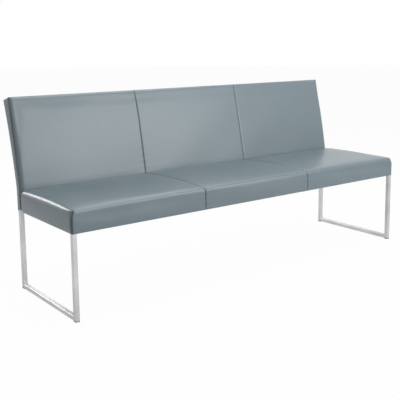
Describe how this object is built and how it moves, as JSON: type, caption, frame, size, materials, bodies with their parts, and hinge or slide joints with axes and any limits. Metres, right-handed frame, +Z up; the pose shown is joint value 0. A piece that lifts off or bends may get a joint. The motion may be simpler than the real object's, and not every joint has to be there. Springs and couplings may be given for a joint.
{
  "type": "dining bench",
  "caption": "Long upholstered dining bench with a full-length back: sewn panels of grey-blue leatherette on sled frames of brushed square steel tube.",
  "frame": {"origin": "on the floor, under the middle of the bench's outline", "axes": "+X along the bench to the right of someone facing it, +Y towards the back, +Z up"},
  "size_m": [2, 0.651, 0.8821],
  "materials": {
    "stainless_steel": "brushed, satin",
    "glide_nylon": "matt black",
    "zinc_plated_steel": "zinc plated",
    "beech": "planed, unfinished",
    "plywood": "sanded, unfinished",
    "webbing": "woven elastic",
    "foam": "open-cell foam",
    "dust_cloth": "non-woven cloth",
    "leatherette": "satin grey-blue, fine grain"
  },
  "bodies": {
    "root": {"left_front_leg": "stainless_steel", "left_rear_leg": "stainless_steel", "left_floor_runner": "stainless_steel", "left_mounting_bar": "stainless_steel", "right_front_leg": "stainless_steel", "right_rear_leg": "stainless_steel", "right_floor_runner": "stainless_steel", "right_mounting_bar": "stainless_steel", "left_front_glide": "glide_nylon", "left_rear_glide": "glide_nylon", "right_front_glide": "glide_nylon", "right_rear_glide": "glide_nylon", "leg_screws": "zinc_plated_steel", "back_screws": "zinc_plated_steel", "seat_front_rail": "beech", "seat_rear_rail": "beech", "seat_left_end_rail": "beech", "seat_right_end_rail": "beech", "seat_left_cross_rail": "beech", "seat_right_cross_rail": "beech", "seat_corner_blocks": "beech", "back_bottom_rail": "beech", "back_top_rail": "beech", "back_left_end_upright": "beech", "back_left_middle_upright": "beech", "back_right_middle_upright": "beech", "back_right_end_upright": "beech", "back_board": "plywood", "seat_webbing": "webbing", "seat_foam": "foam", "back_foam": "foam", "dust_cover": "dust_cloth", "seat_cover_left": "leatherette", "seat_cover_centre": "leatherette", "seat_cover_right": "leatherette", "back_front_cover_left": "leatherette", "back_front_cover_centre": "leatherette", "back_front_cover_right": "leatherette", "back_boxing_band": "leatherette", "back_rear_cover": "leatherette"}
  },
  "joints": []
}
